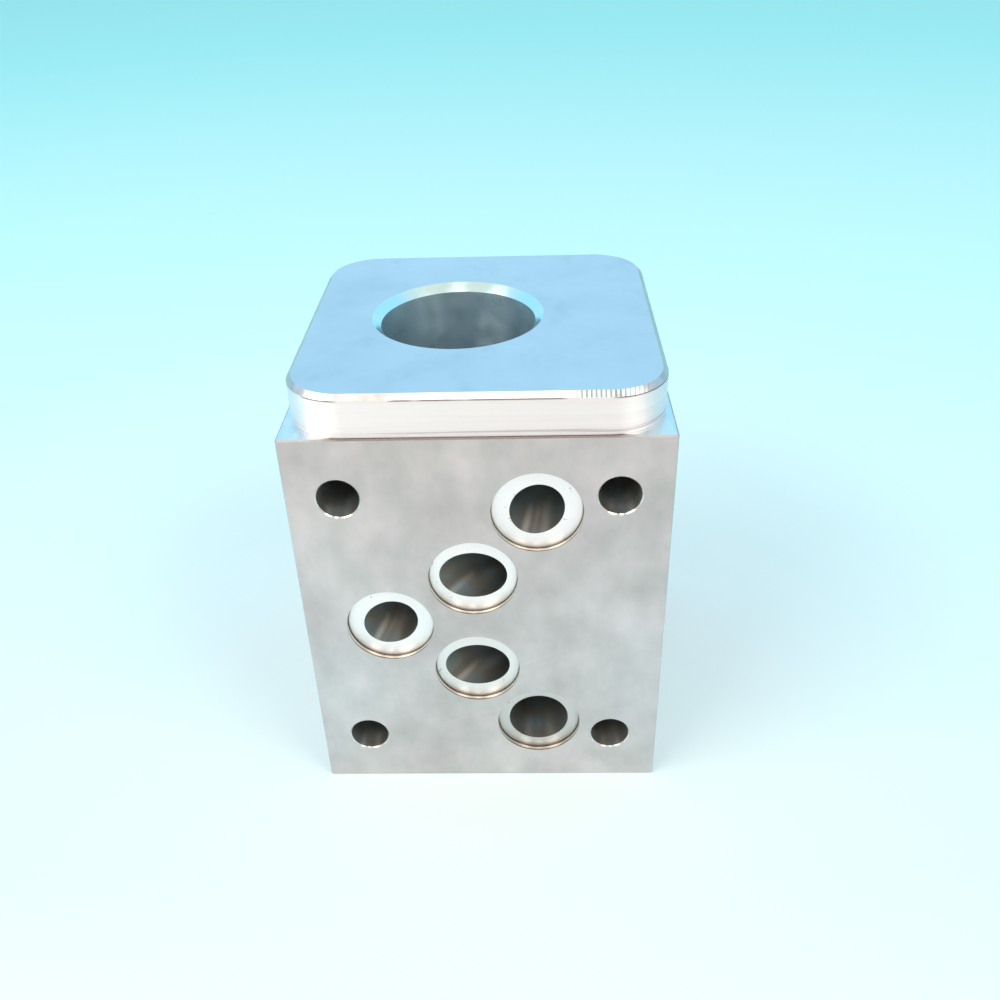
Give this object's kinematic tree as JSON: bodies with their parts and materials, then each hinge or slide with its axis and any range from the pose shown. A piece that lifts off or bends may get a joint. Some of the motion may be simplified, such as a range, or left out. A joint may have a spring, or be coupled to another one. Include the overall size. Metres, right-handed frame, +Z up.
{
  "type": "hydraulic manifold block",
  "caption": "Machined aluminium block with a valve port pattern drilled through it and a large blind bore opening in a raised, rounded pad on its top.",
  "frame": {"origin": "centre of the plain lower face, on which the block stands", "axes": "+Z up, out of the large bore; -Y out of the port face with the seal seats; +X to the right of someone who looks at that face"},
  "size_m": [0.0636, 0.0636, 0.0836],
  "materials": {
    "machined_aluminium": "satin, as machined, with fine milling marks"
  },
  "bodies": {
    "root": {"manifold_block": "machined_aluminium"}
  },
  "joints": []
}
